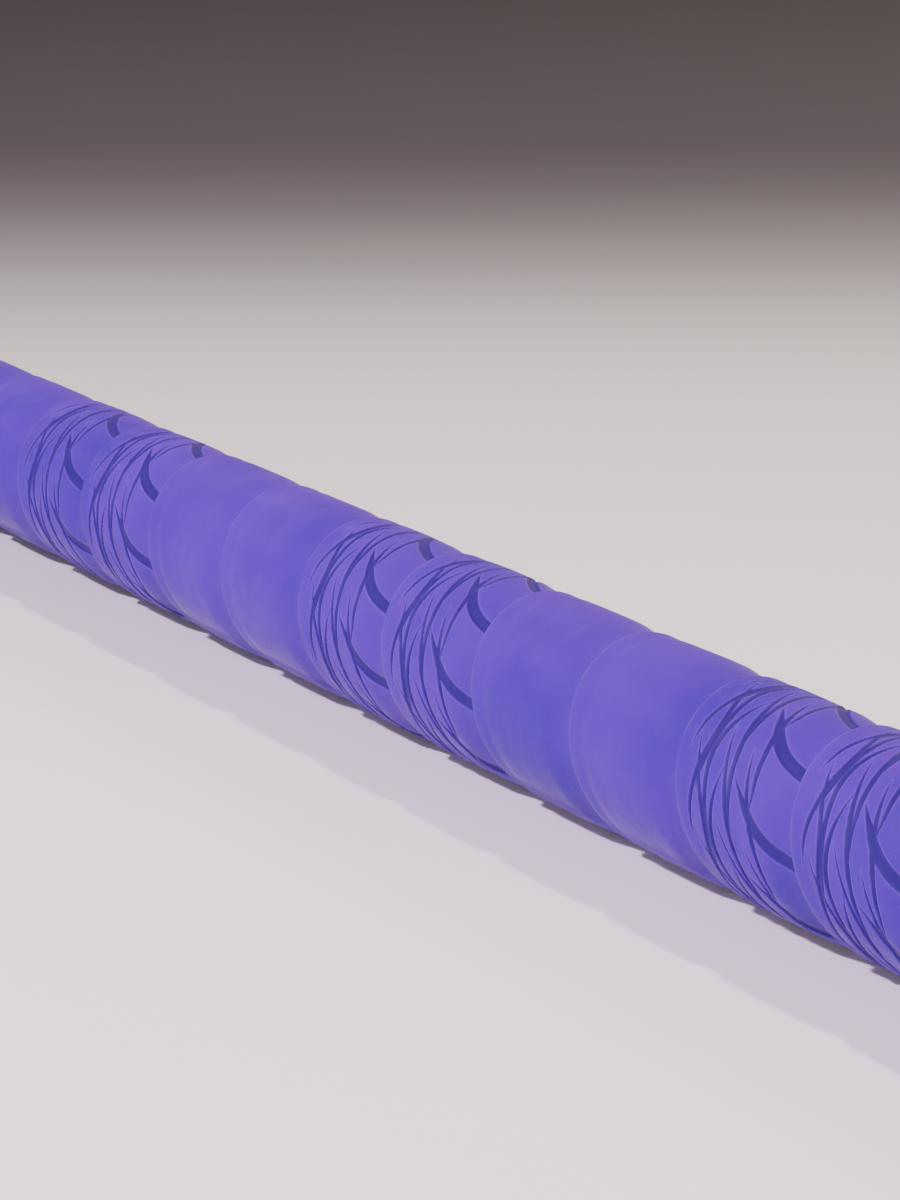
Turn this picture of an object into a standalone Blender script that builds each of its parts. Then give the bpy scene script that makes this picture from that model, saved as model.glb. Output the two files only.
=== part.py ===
"""Rhythmic gymnastics ribbon wand, lying along +X with its butt at -X and its snap hook at +X.

A fibreglass tube carries a spiral-wound overgrip. Its tip ends in a ball-bearing swivel with an
eye, a connector ring and a snap hook, which take the loop of a ribbon. Sizes are in millimetres,
measured along the wand from its butt, and MM turns them into metres. The wand rests on z = 0, and
the middle of its length is at x = 0.
"""

import math

import bmesh
import bpy
from mathutils import Matrix, Vector

MM = 0.001

# Driving dimensions, in millimetres.
GAP = 0.3
ROUND_STEPS = 40
WRAP_STEPS = 24
TUBE_R = 5.0
TUBE_TIP_R = 4.0
TUBE_BORE_R = 2.8
TAPE_THICKNESS = 0.55
WRAP_R = TUBE_R + 2 * TAPE_THICKNESS
WRAP_PITCH = 14.3
WRAP_TURNS = 21
CAP_HEAD = 3.2
CAP_HEAD_R = 5.8
SPIGOT_R = TUBE_BORE_R - GAP
SPIGOT_LENGTH = 12.0
BAND_LENGTH = 12.0

WRAP_START = CAP_HEAD + GAP
WRAP_END = WRAP_START + WRAP_TURNS * WRAP_PITCH
BAND_START = WRAP_END + GAP
TAPER_START = BAND_START + BAND_LENGTH + 8.0
TAPER_END = 505.0
TUBE_START = CAP_HEAD + GAP
TUBE_END = 523.0

FERRULE_R = 5.0
FERRULE_START = 508.0
FERRULE_BORE_R = TUBE_TIP_R + GAP
FRONT_WALL = 2.2
PIN_X = 517.0
PIN_R = 0.8

PLUG_FLANGE = 1.7
HEAD_THICKNESS = 2.4
HEAD_R = 3.2
BALL_R = 0.7
BALL_COUNT = 6
BALL_CIRCLE_R = 2.5
WASHER_THICKNESS = 1.0
SHAFT_R = 1.4
SHAFT_HOLE_R = SHAFT_R + GAP

FLANGE_START = TUBE_END + GAP
HEAD_START = FLANGE_START + PLUG_FLANGE + GAP
BALL_X = HEAD_START + HEAD_THICKNESS + GAP + BALL_R
WASHER_START = BALL_X + BALL_R + GAP
WALL_START = WASHER_START + WASHER_THICKNESS + GAP
FERRULE_END = WALL_START + FRONT_WALL

EYE_R = 3.2
EYE_HOLE_R = 1.7
EYE_THICKNESS = 2.6
EYE_X = FERRULE_END + 5.2
RING_R = 4.2
RING_WIRE_R = 0.6
HOOK_X = EYE_X + 2 * RING_R

# The snap hook, measured from the middle of its eye.
HOOK_BAR_R = 1.2
HOOK_EYE_R = 3.0
HOOK_EYE_HOLE_R = 1.6
HOOK_EYE_THICKNESS = 2.4
HOOK_HALF_WIDTH = 4.4
HOOK_BACK_ARC_X = 9.0
HOOK_NOSE_ARC_X = 22.0
HINGE_X = 10.2
LATCH_X = 19.6
TONGUE_HALF = 0.6
CHEEK_INNER_HALF = 0.9
GATE_HALF_WIDTH = 1.3
GATE_HALF_THICKNESS = 1.5
GATE_END_X = LATCH_X - 0.4
SLOT_END_X = HINGE_X + HOOK_BAR_R + GAP
RIVET_R = 0.5
RIVET_HOLE_R = 0.6
SPRING_BORE_R = 0.75
SPRING_BORE_END_X = 17.6
SPRING_TURNS = 7
SPRING_COIL_R = 0.48
SPRING_WIRE_R = 0.12

LENGTH = HOOK_X + HOOK_NOSE_ARC_X + HOOK_HALF_WIDTH + HOOK_BAR_R
# The wrap's solid is a prism with flat sides WRAP_R from its axis, and it lies on one of them.
AXIS_HEIGHT = WRAP_R


def along(x, y=0.0, z=0.0):
    """World point, in metres, of a place on the wand: x from the butt, y and z from its axis."""
    return Vector(((x - LENGTH / 2) * MM, y * MM, (AXIS_HEIGHT + z) * MM))


def on_hook(x, y=0.0, z=0.0):
    """World point of a place measured from the middle of the hook's eye."""
    return along(HOOK_X + x, y, z)


def clear_scene():
    for old in list(bpy.data.objects):
        bpy.data.objects.remove(old)


def collection(name):
    made = bpy.data.collections.new(name)
    bpy.context.scene.collection.children.link(made)
    return made


def material(name, colour, roughness, metallic=0.0):
    made = bpy.data.materials.new(name)
    made.use_nodes = True
    shader = made.node_tree.nodes["Principled BSDF"]
    shader.inputs["Base Color"].default_value = (*colour, 1.0)
    shader.inputs["Roughness"].default_value = roughness
    shader.inputs["Metallic"].default_value = metallic
    made.diffuse_color = (*colour, 1.0)
    return made


def put(obj, home, surface=None):
    """Puts an object in one collection only and gives it its material."""
    for old in list(obj.users_collection):
        old.objects.unlink(obj)
    home.objects.link(obj)
    if surface is not None:
        obj.data.materials.clear()
        obj.data.materials.append(surface)
    return obj


def as_cutter(obj):
    """Hides a cutting shape and keeps it out of the model."""
    put(obj, CUTTERS)
    obj.hide_render = True
    obj.display_type = "WIRE"
    return obj


def smooth(obj, angle=35.0):
    obj.data.shade_smooth()
    obj.data.set_sharp_from_angle(angle=math.radians(angle))
    return obj


def turned(name, profile, place, closed, surface, steps=ROUND_STEPS, upright=False):
    """A turned piece from (length, radius) points in mm that run from its far end back.

    A closed profile makes a hollow piece. The piece lies along X, or stands along Z if upright.
    """
    mesh = bpy.data.meshes.new(name)
    points = [(radius * MM, 0.0, length * MM) for length, radius in profile]
    edges = [(i, i + 1) for i in range(len(points) - 1)]
    if closed:
        edges.append((len(points) - 1, 0))
    mesh.from_pydata(points, edges, [])
    obj = bpy.data.objects.new(name, mesh)
    put(obj, PARTS, surface)
    obj.location = place
    # Half a step of turn about its own axis lays a flat strip, not an edge, underneath.
    obj.rotation_mode = "ZYX"
    obj.rotation_euler = (0.0, 0.0 if upright else math.pi / 2, math.pi / steps)
    screw = obj.modifiers.new("turn", "SCREW")
    screw.steps = steps
    screw.render_steps = steps
    screw.use_merge_vertices = True
    screw.merge_threshold = 0.00001
    screw.use_smooth_shade = True
    return obj


def cylinder(name, radius, depth, centre, axis="Z", steps=24):
    bpy.ops.mesh.primitive_cylinder_add(
        vertices=steps, radius=radius * MM, depth=depth * MM, location=centre
    )
    obj = bpy.context.active_object
    obj.name = name
    turn = {"X": (0.0, math.pi / 2, 0.0), "Y": (math.pi / 2, 0.0, 0.0), "Z": (0.0, 0.0, 0.0)}
    obj.rotation_euler = turn[axis]
    return obj


def box(name, size, centre):
    bpy.ops.mesh.primitive_cube_add(size=1.0, location=centre)
    obj = bpy.context.active_object
    obj.name = name
    obj.data.transform(Matrix.Diagonal((size[0] * MM, size[1] * MM, size[2] * MM, 1.0)))
    return obj


def boolean(obj, other, operation):
    step = obj.modifiers.new(operation.lower(), "BOOLEAN")
    step.operation = operation
    step.solver = "EXACT"
    step.object = as_cutter(other)
    return obj


def bevel(obj, width, segments=2):
    step = obj.modifiers.new("edge", "BEVEL")
    step.width = width * MM
    step.segments = segments
    step.limit_method = "ANGLE"
    step.angle_limit = math.radians(40)
    return obj


def mesh_of(obj, name, surface):
    """The evaluated shape of a curve or a modified object, as a plain mesh in the same place."""
    bpy.context.view_layer.update()
    graph = bpy.context.evaluated_depsgraph_get()
    mesh = bpy.data.meshes.new_from_object(obj.evaluated_get(graph), depsgraph=graph)
    shape = bmesh.new()
    shape.from_mesh(mesh)
    bmesh.ops.remove_doubles(shape, verts=shape.verts, dist=0.000001)
    bmesh.ops.recalc_face_normals(shape, faces=shape.faces)
    shape.to_mesh(mesh)
    shape.free()
    made = bpy.data.objects.new(name, mesh)
    made.matrix_world = obj.matrix_world
    put(made, PARTS, surface)
    bpy.data.objects.remove(obj)
    return made


def wire(name, points, radius, resolution=2):
    """A round bar along world points, as a curve with closed ends."""
    curve = bpy.data.curves.new(name, "CURVE")
    curve.dimensions = "3D"
    curve.bevel_depth = radius * MM
    curve.bevel_resolution = resolution
    curve.use_fill_caps = True
    spline = curve.splines.new("POLY")
    spline.points.add(len(points) - 1)
    for point, place in zip(spline.points, points):
        point.co = (*place, 1.0)
    obj = bpy.data.objects.new(name, curve)
    PARTS.objects.link(obj)
    return obj


def arc(centre_x, radius, start, end, steps):
    """(x, y) points on an arc of the hook's plane; angles are in degrees."""
    points = []
    for i in range(steps + 1):
        angle = math.radians(start + (end - start) * i / steps)
        points.append((centre_x + radius * math.cos(angle), radius * math.sin(angle)))
    return points


def joint_axis(name, place, parent=None):
    """An empty on a joint's axis. What moves with the joint is its child."""
    empty = bpy.data.objects.new(name, None)
    empty.empty_display_size = 4 * MM
    PARTS.objects.link(empty)
    empty.location = place
    if parent is not None:
        keep_place(empty, parent)
    return empty


def keep_place(obj, parent):
    bpy.context.view_layer.update()
    world = obj.matrix_world.copy()
    obj.parent = parent
    obj.matrix_parent_inverse = parent.matrix_world.inverted()
    obj.matrix_world = world


def make_stick_tube():
    """Fibreglass tube: straight under the grip, then tapered to the tip."""
    profile = [
        (TUBE_END, TUBE_BORE_R),
        (TUBE_END, TUBE_TIP_R),
        (TAPER_END, TUBE_TIP_R),
        (TAPER_START, TUBE_R),
        (TUBE_START, TUBE_R),
        (TUBE_START, TUBE_BORE_R),
    ]
    tube = turned("stick_tube", profile, along(0.0), True, FIBREGLASS)
    return boolean(tube, cylinder("tube_pin_hole", PIN_R + 0.25, 20.0, along(PIN_X), "Y"), "DIFFERENCE")


def make_grip_wrap():
    """The space that the wound overgrip fills, as a plain sleeve."""
    corner_r = WRAP_R / math.cos(math.pi / WRAP_STEPS)
    inner = TUBE_R + GAP + corner_r - WRAP_R
    edge = 0.3
    profile = [
        (WRAP_END, inner),
        (WRAP_END, corner_r - edge),
        (WRAP_END - edge, corner_r),
        (WRAP_START + edge, corner_r),
        (WRAP_START, corner_r - edge),
        (WRAP_START, inner),
    ]
    return turned("grip_wrap", profile, along(0.0), True, OVERGRIP, WRAP_STEPS)


def make_finishing_tape():
    """Band of tape that holds the overgrip's end to the tube."""
    inner = TUBE_R + GAP
    outer = inner + 0.5
    end = BAND_START + BAND_LENGTH
    profile = [(end, inner), (end, outer), (BAND_START, outer), (BAND_START, inner)]
    return turned("finishing_tape", profile, along(0.0), True, BAND)


def make_butt_cap():
    """Rubber cap with a round edge and a barbed spigot that grips inside the tube."""
    spigot_end = CAP_HEAD + SPIGOT_LENGTH
    profile = [(spigot_end, 0.0), (spigot_end, SPIGOT_R - 0.5)]
    for barb in range(2):
        top = spigot_end - 1.0 - 4.0 * barb
        profile += [(top, SPIGOT_R), (top - 2.0, SPIGOT_R - 0.25), (top - 2.2, SPIGOT_R - 0.4)]
    profile += [(CAP_HEAD, SPIGOT_R - 0.4), (CAP_HEAD, CAP_HEAD_R)]
    edge = 2.0
    for i in range(1, 7):
        angle = math.radians(90 * i / 6)
        profile.append((edge * (1 - math.sin(angle)), CAP_HEAD_R - edge * (1 - math.cos(angle))))
    profile.append((0.0, 0.0))
    return turned("butt_cap", profile, along(0.0), False, RUBBER)


def make_tip_ferrule():
    """Metal housing pushed over the tube's tip, with crimp grooves and a front wall."""
    groove = 0.25
    profile = [
        (FERRULE_END, SHAFT_HOLE_R),
        (FERRULE_END, FERRULE_R - 1.0),
        (FERRULE_END - 1.0, FERRULE_R),
    ]
    for start in (FERRULE_START + 5.4, FERRULE_START + 3.4):
        profile += [
            (start, FERRULE_R),
            (start - 0.3, FERRULE_R - groove),
            (start - 0.9, FERRULE_R - groove),
            (start - 1.2, FERRULE_R),
        ]
    profile += [
        (FERRULE_START + 0.4, FERRULE_R),
        (FERRULE_START, FERRULE_R - 0.4),
        (FERRULE_START, FERRULE_BORE_R),
        (WALL_START, FERRULE_BORE_R),
        (WALL_START, SHAFT_HOLE_R),
    ]
    ferrule = turned("tip_ferrule", profile, along(0.0), True, PLATED)
    hole = cylinder("ferrule_pin_hole", PIN_R + 0.25, 20.0, along(PIN_X), "Y")
    return boolean(ferrule, hole, "DIFFERENCE")


def make_tip_plug():
    """Plug that closes the tube and backs the swivel's head."""
    profile = [
        (FLANGE_START + PLUG_FLANGE, 0.0),
        (FLANGE_START + PLUG_FLANGE, TUBE_TIP_R),
        (FLANGE_START, TUBE_TIP_R),
        (FLANGE_START, SPIGOT_R),
        (FLANGE_START - SPIGOT_LENGTH, SPIGOT_R),
        (FLANGE_START - SPIGOT_LENGTH, 0.0),
    ]
    plug = turned("tip_plug", profile, along(0.0), False, NYLON)
    return boolean(plug, cylinder("plug_pin_hole", PIN_R + 0.25, 20.0, along(PIN_X), "Y"), "DIFFERENCE")


def make_ferrule_pin():
    """Cross pin through ferrule, tube and plug."""
    pin = cylinder("ferrule_pin", PIN_R, 2 * FERRULE_R - 0.1, along(PIN_X), "Y")
    put(pin, PARTS, STEEL)
    return smooth(bevel(pin, 0.15, 1))


def make_thrust_washer():
    """Hardened washer that the balls run on, against the front wall."""
    end = WASHER_START + WASHER_THICKNESS
    outer = FERRULE_BORE_R - GAP
    profile = [
        (end, SHAFT_HOLE_R),
        (end, outer),
        (WASHER_START, outer),
        (WASHER_START, SHAFT_HOLE_R),
    ]
    return turned("thrust_washer", profile, along(0.0), True, STEEL)


def make_balls():
    balls = []
    for i in range(BALL_COUNT):
        angle = 2 * math.pi * i / BALL_COUNT
        place = along(BALL_X, BALL_CIRCLE_R * math.cos(angle), BALL_CIRCLE_R * math.sin(angle))
        bpy.ops.mesh.primitive_uv_sphere_add(
            segments=12, ring_count=8, radius=BALL_R * MM, location=place
        )
        ball = bpy.context.active_object
        ball.name = f"bearing_ball_{i + 1}"
        put(ball, PARTS, STEEL)
        ball.data.shade_smooth()
        balls.append(ball)
    return balls


def make_spindle():
    """Headed shaft of the swivel, with a flat eye outside the housing."""
    shaft_end = EYE_X - EYE_R + 0.8
    profile = [
        (shaft_end, 0.0),
        (shaft_end, SHAFT_R),
        (HEAD_START + HEAD_THICKNESS, SHAFT_R),
        (HEAD_START + HEAD_THICKNESS, HEAD_R),
        (HEAD_START + 0.4, HEAD_R),
        (HEAD_START, HEAD_R - 0.4),
        (HEAD_START, 0.0),
    ]
    spindle = turned("spindle", profile, along(0.0), False, STEEL, 32)
    eye = bevel(cylinder("spindle_eye", EYE_R, EYE_THICKNESS, along(EYE_X), "Z", 32), 0.4)
    boolean(spindle, eye, "UNION")
    hole = cylinder("spindle_eye_hole", EYE_HOLE_R, 2 * EYE_THICKNESS, along(EYE_X), "Z")
    return boolean(spindle, hole, "DIFFERENCE")


def make_connector_ring():
    """Welded round ring that stands upright through the swivel's eye and the hook's eye."""
    bpy.ops.mesh.primitive_torus_add(
        major_segments=40,
        minor_segments=12,
        major_radius=RING_R * MM,
        minor_radius=RING_WIRE_R * MM,
        location=along(EYE_X + RING_R),
        rotation=(math.pi / 2, 0.0, 0.0),
    )
    ring = bpy.context.active_object
    ring.name = "connector_ring"
    put(ring, PARTS, STEEL)
    ring.data.shade_smooth()
    return ring


def hook_path():
    """Middle line of the hook's bar, from the gate's hinge round to the latch."""
    path = [(HINGE_X, -HOOK_HALF_WIDTH)]
    path += arc(HOOK_BACK_ARC_X, HOOK_HALF_WIDTH, -90, -270, 14)
    path += arc(HOOK_NOSE_ARC_X, HOOK_HALF_WIDTH, 90, -90, 14)
    path.append((LATCH_X, -HOOK_HALF_WIDTH))
    return [on_hook(x, y) for x, y in path]


def make_hook_body():
    """Snap hook: a bent bar with an eye, and a thin tongue where the gate is pinned."""
    body = mesh_of(wire("hook_bar", hook_path(), HOOK_BAR_R), "hook_body", PLATED)
    eye = cylinder("hook_eye", HOOK_EYE_R, HOOK_EYE_THICKNESS, on_hook(0.0), "Z", 32)
    boolean(body, bevel(eye, 0.4), "UNION")
    boolean(body, cylinder("hook_neck", 1.0, 2.9, on_hook(3.45), "X", 20), "UNION")
    tongue = (HINGE_X, -HOOK_HALF_WIDTH)
    round_end = cylinder("tongue_end", HOOK_BAR_R - 0.02, 2.2, on_hook(*tongue), "Z")
    boolean(body, round_end, "UNION")
    hole = cylinder("hook_eye_hole", HOOK_EYE_HOLE_R, 8.0, on_hook(0.0), "Z")
    boolean(body, hole, "DIFFERENCE")
    for side in (-1, 1):
        depth = 2.0
        middle = side * (TONGUE_HALF + depth / 2)
        cut = cylinder(f"tongue_cut_{side}", GATE_HALF_WIDTH + 0.4, depth, on_hook(*tongue, middle))
        boolean(body, cut, "DIFFERENCE")
    boolean(body, cylinder("tongue_hole", RIVET_HOLE_R, 6.0, on_hook(*tongue), "Z", 16), "DIFFERENCE")
    return body


def make_hook_gate():
    """Gate: a bar with a forked, rounded hinge end and a blind bore for its spring."""
    outline = [(GATE_END_X, -GATE_HALF_WIDTH), (GATE_END_X, GATE_HALF_WIDTH)]
    outline += arc(HINGE_X, GATE_HALF_WIDTH, 90, 270, 12)
    curve = bpy.data.curves.new("gate_outline", "CURVE")
    curve.dimensions = "2D"
    curve.fill_mode = "BOTH"
    curve.extrude = GATE_HALF_THICKNESS * MM
    spline = curve.splines.new("POLY")
    spline.points.add(len(outline) - 1)
    spline.use_cyclic_u = True
    for point, (x, y) in zip(spline.points, outline):
        point.co = ((x - HINGE_X) * MM, y * MM, 0.0, 1.0)
    flat = bpy.data.objects.new("gate_outline", curve)
    PARTS.objects.link(flat)
    flat.location = on_hook(HINGE_X, -HOOK_HALF_WIDTH)
    gate = bevel(mesh_of(flat, "hook_gate", PLATED), 0.3)
    slot_start = HINGE_X - GATE_HALF_WIDTH - 1.0
    slot = box(
        "gate_slot",
        (SLOT_END_X - slot_start, 4 * GATE_HALF_WIDTH, 2 * CHEEK_INNER_HALF),
        on_hook((SLOT_END_X + slot_start) / 2, -HOOK_HALF_WIDTH),
    )
    boolean(gate, slot, "DIFFERENCE")
    bore_start = SLOT_END_X - 0.5
    bore = cylinder(
        "gate_bore",
        SPRING_BORE_R,
        SPRING_BORE_END_X - bore_start,
        on_hook((SPRING_BORE_END_X + bore_start) / 2, -HOOK_HALF_WIDTH),
        "X",
        16,
    )
    boolean(gate, bore, "DIFFERENCE")
    hole = cylinder("gate_hole", RIVET_HOLE_R, 6.0, on_hook(HINGE_X, -HOOK_HALF_WIDTH), "Z", 16)
    return boolean(gate, hole, "DIFFERENCE")


def make_gate_plunger():
    """Small pin that the spring pushes against the tongue, to hold the gate shut."""
    start = HINGE_X + HOOK_BAR_R + GAP
    profile = [(2.0, 0.0), (2.0, 0.35), (1.0, 0.35), (1.0, 0.5), (0.15, 0.5), (0.0, 0.3), (0.0, 0.0)]
    place = on_hook(start, -HOOK_HALF_WIDTH)
    return turned("gate_plunger", profile, place, False, STEEL, 12)


def make_gate_spring():
    """Compression spring in the gate's bore, between the plunger and the bore's end."""
    start = HINGE_X + HOOK_BAR_R + GAP + 1.0 + 0.3
    length = SPRING_BORE_END_X - 0.3 - start
    points_per_turn = 10
    points = []
    for i in range(SPRING_TURNS * points_per_turn + 1):
        angle = 2 * math.pi * i / points_per_turn
        x = start + length * i / (SPRING_TURNS * points_per_turn)
        y = -HOOK_HALF_WIDTH + SPRING_COIL_R * math.cos(angle)
        points.append(on_hook(x, y, SPRING_COIL_R * math.sin(angle)))
    return mesh_of(wire("spring_wire", points, SPRING_WIRE_R), "gate_spring", STEEL)


def make_gate_rivet():
    """Rivet of the gate's hinge, with a low head on each side."""
    head = 0.4
    outer = GATE_HALF_THICKNESS + 0.15
    profile = [
        (outer + head, 0.0),
        (outer + head, 0.7),
        (outer, 0.95),
        (outer, RIVET_R),
        (-outer, RIVET_R),
        (-outer, 0.95),
        (-outer - head, 0.7),
        (-outer - head, 0.0),
    ]
    place = on_hook(HINGE_X, -HOOK_HALF_WIDTH)
    return turned("gate_rivet", profile, place, False, STEEL, 16, upright=True)


clear_scene()
PARTS = collection("ribbon_wand")
CUTTERS = collection("cutters")
FIBREGLASS = material("fibreglass", (0.83, 0.81, 0.78), 0.28)
OVERGRIP = material("overgrip", (0.165, 0.115, 0.62), 0.48)
BAND = material("finishing_band", (0.07, 0.06, 0.16), 0.4)
RUBBER = material("butt_rubber", (0.045, 0.04, 0.07), 0.62)
PLATED = material("plated_metal", (0.78, 0.78, 0.8), 0.18, 1.0)
STEEL = material("steel", (0.62, 0.62, 0.64), 0.28, 1.0)
NYLON = material("nylon", (0.78, 0.77, 0.72), 0.5)

make_stick_tube()
make_grip_wrap()
make_finishing_tape()
make_butt_cap()
make_tip_ferrule()
make_tip_plug()
make_ferrule_pin()
make_thrust_washer()

ball_orbit = joint_axis("ball_orbit", along(BALL_X))
for bearing_ball in make_balls():
    keep_place(bearing_ball, ball_orbit)

spindle_spin = joint_axis("spindle_spin", along(HEAD_START))
keep_place(make_spindle(), spindle_spin)

ring_pivot = joint_axis("ring_pivot", along(EYE_X), spindle_spin)
keep_place(make_connector_ring(), ring_pivot)

hook_pivot = joint_axis("hook_pivot", on_hook(0.0), ring_pivot)
keep_place(make_hook_body(), hook_pivot)
keep_place(make_gate_rivet(), hook_pivot)

gate_hinge = joint_axis("gate_hinge", on_hook(HINGE_X, -HOOK_HALF_WIDTH), hook_pivot)
keep_place(make_hook_gate(), gate_hinge)
keep_place(make_gate_plunger(), gate_hinge)
keep_place(make_gate_spring(), gate_hinge)
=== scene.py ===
import math

import bmesh
import bpy
import numpy as np
from mathutils import Matrix, Vector


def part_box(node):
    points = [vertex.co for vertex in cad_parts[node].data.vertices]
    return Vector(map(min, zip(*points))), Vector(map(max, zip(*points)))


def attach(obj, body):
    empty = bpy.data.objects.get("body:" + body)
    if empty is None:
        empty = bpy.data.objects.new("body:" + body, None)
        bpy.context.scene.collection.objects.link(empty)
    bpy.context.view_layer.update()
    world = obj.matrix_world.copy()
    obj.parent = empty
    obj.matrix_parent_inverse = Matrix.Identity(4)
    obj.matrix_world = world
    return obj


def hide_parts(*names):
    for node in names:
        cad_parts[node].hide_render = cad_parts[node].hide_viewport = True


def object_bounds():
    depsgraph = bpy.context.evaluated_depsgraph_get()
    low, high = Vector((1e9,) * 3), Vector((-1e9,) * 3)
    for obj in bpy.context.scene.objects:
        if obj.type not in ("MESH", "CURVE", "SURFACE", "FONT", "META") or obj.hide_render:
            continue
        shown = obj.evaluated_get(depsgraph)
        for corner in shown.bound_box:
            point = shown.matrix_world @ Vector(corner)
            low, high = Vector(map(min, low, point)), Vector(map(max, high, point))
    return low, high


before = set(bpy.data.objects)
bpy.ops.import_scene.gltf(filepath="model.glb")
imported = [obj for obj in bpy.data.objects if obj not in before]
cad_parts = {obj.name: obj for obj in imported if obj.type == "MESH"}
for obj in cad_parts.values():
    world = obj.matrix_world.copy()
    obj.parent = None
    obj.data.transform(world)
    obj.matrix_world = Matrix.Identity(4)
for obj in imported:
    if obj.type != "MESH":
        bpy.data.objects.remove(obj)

# The looks of a rhythmic gymnastics ribbon wand. Sizes are in millimetres along the wand from its
# butt, y and z are measured from its axis, and MM turns them into metres.

MM = 0.001
cad_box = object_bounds()
wrap_low, wrap_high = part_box("grip_wrap")
AXIS_Z = (wrap_low.z + wrap_high.z) / 2
BUTT_X = cad_box[0].x


def from_butt(x):
    """Millimetres along the wand of a world x."""
    return (x - BUTT_X) / MM


def on_wand(x, y=0.0, z=0.0):
    """World point of a place on the wand."""
    return Vector((BUTT_X + x * MM, y * MM, AXIS_Z + z * MM))


def in_world(points):
    """World places of an array of points in mm from the butt and from the axis."""
    return points * MM + np.array([BUTT_X, 0.0, AXIS_Z])


def span(node):
    """Where a CAD node starts and ends along the wand."""
    low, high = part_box(node)
    return from_butt(low.x), from_butt(high.x)


def half_width(node):
    """A CAD node's radius, from its box across the wand."""
    low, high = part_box(node)
    return (high.y - low.y) / 2 / MM


# The wound grip.
WRAP_START, WRAP_END = span("grip_wrap")
TUBE_R = 5.0
TAPE_THICKNESS = 0.55
WRAP_R = TUBE_R + 2 * TAPE_THICKNESS
TAPE_PITCH = 14.333
TAPE_AXIAL_WIDTH = 26.2
# Where the tape's visible edge is on the wand's +y side, in the turn that counts as turn 0.
TAPE_FIRST_EDGE = 131.337
# Two turns in every four are grooved. The phase is in turns.
PATCH_TURNS = 2
PATCH_REPEAT = 4
PATCH_PHASE = -0.15
# The grooves repeat round the wand. Their period and phase are measured round it.
MOTIF_PERIOD = 5.24
MOTIF_PHASE = 1.64
GROOVE_DEPTH = 0.12

# The view: what the lights point at, the camera's place from there, and its angles in degrees.
FOCUS_X = 153.65
CAMERA_OFFSET = (306.04, -133.10, 67.05)
VIEW_TURN = 23.29
VIEW_PITCH = 10.763
LENS = 160.0

# Colours, scene-linear.
OVERGRIP_BLOOM = (1.0, 0.8, 1.0, 1.0)
OVERGRIP_DEEP = (0.025, 0.0005, 0.226)
OVERGRIP_PALE = (0.053, 0.003, 0.285)
# painted highlight along the grooves' edges
OVERGRIP_PAINTED_HIGHLIGHT = (0.090, 0.028, 0.37)
# painted shade in the valley before each turn's edge
OVERGRIP_PAINTED_VALLEY_SHADE = (0.024, 0.001, 0.20)
# the grooves' own darker tone together with painted shade in the recess
OVERGRIP_GROOVE_TONE_AND_SHADE = (0.014, 0.0006, 0.118)
PLATING_DULL = (0.72, 0.72, 0.74)
PLATING_BRIGHT = (0.84, 0.83, 0.82)
FLOOR_COLOUR = (0.80, 0.77, 0.81)
# the colour that painted shade darkens the far floor to
FAR_FLOOR_SHADE_COLOUR = (0.041, 0.034, 0.045)
SKY_COLOUR = (1.0, 0.84, 0.76)
FAR_WALL_COLOUR = (0.06, 0.05, 0.05)
KEY_COLOUR = (0.95, 0.76, 1.0)
FILL_COLOUR = (1.0, 0.85, 0.82)
BACK_COLOUR = (1.0, 0.93, 0.66)


def smoothstep(t):
    """0 below 0 and 1 above 1, with a smooth change between."""
    t = np.clip(t, 0.0, 1.0)
    return t * t * (3 - 2 * t)


# ---------------------------------------------------------------- mesh helpers


def link(obj):
    """Puts an object in the scene."""
    bpy.context.scene.collection.objects.link(obj)
    return obj


def ring_mesh(name, rings, closed_rows=False):
    """A closed mesh through rings of points: an array of rows, points round each row, and x, y, z.

    Rows join end to end if closed_rows, and otherwise the first and the last row are capped.
    """
    rows, around = rings.shape[:2]
    points = rings.reshape(-1, 3)
    row_count = rows if closed_rows else rows - 1
    row = np.arange(row_count)[:, None]
    place = np.arange(around)[None, :]
    after = (row + 1) % rows
    beside = (place + 1) % around
    quads = np.stack(
        [
            row * around + place,
            row * around + beside,
            after * around + beside,
            after * around + place,
        ],
        axis=-1,
    ).reshape(-1, 4)
    corners = [quads.ravel()]
    sizes = [np.full(len(quads), 4)]
    if not closed_rows:
        corners += [np.arange(around)[::-1], np.arange(around) + (rows - 1) * around]
        sizes.append(np.array([around, around]))
    corners = np.concatenate(corners).astype(np.int32)
    sizes = np.concatenate(sizes)
    mesh = bpy.data.meshes.new(name)
    mesh.vertices.add(len(points))
    mesh.vertices.foreach_set("co", points.astype(np.float32).ravel())
    mesh.loops.add(len(corners))
    mesh.loops.foreach_set("vertex_index", corners)
    mesh.polygons.add(len(sizes))
    starts = np.concatenate([[0], np.cumsum(sizes)[:-1]]).astype(np.int32)
    mesh.polygons.foreach_set("loop_start", starts)
    mesh.update(calc_edges=True)
    mesh.validate()
    return link(bpy.data.objects.new(name, mesh))


def smooth(obj):
    """Rounds a piece's shading, except at edges that turn more than 35 degrees."""
    obj.data.shade_smooth()
    obj.data.set_sharp_from_angle(angle=math.radians(35.0))
    return obj


# ---------------------------------------------------------------- node helpers


def add(tree, kind, settings=None, **inputs):
    """A shader node with its settings, plain inputs and linked inputs."""
    made = tree.nodes.new("ShaderNode" + kind)
    for key, value in (settings or {}).items():
        setattr(made, key, value)
    for key, value in inputs.items():
        socket = made.inputs[key.replace("_", " ")]
        if isinstance(value, bpy.types.NodeSocket):
            tree.links.new(value, socket)
        else:
            socket.default_value = value
    return made


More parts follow.
